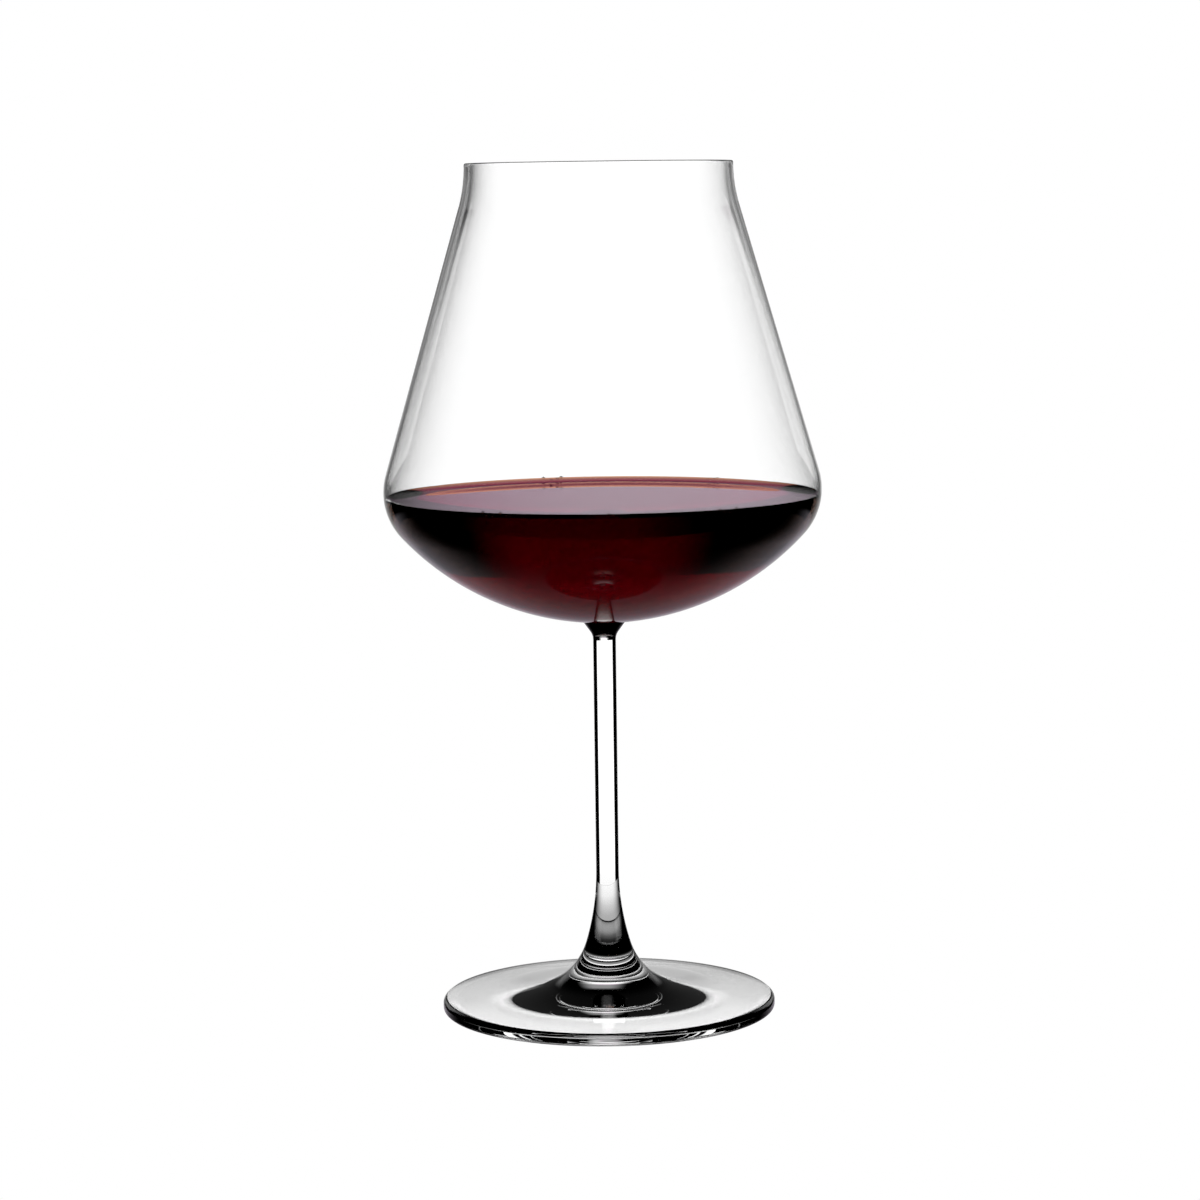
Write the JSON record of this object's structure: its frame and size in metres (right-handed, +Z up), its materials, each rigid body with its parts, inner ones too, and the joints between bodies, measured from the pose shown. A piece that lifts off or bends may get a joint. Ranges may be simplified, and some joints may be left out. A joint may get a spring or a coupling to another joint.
{
  "type": "glass of red wine",
  "caption": "Large stemmed wine glass with a broad, low-shouldered bowl that narrows to an upright mouth, part filled with red wine.",
  "frame": {"origin": "middle of the foot, on the surface that the glass stands on", "axes": "+Z up along the axis of the stem; the part is the same all round, so X and Y are free"},
  "size_m": [0.1206, 0.1206, 0.235],
  "materials": {
    "glass": "clear, fire-polished crystal",
    "wine": "clear deep red liquid"
  },
  "bodies": {
    "root": {"glass": "glass", "wine": "wine"}
  },
  "joints": []
}
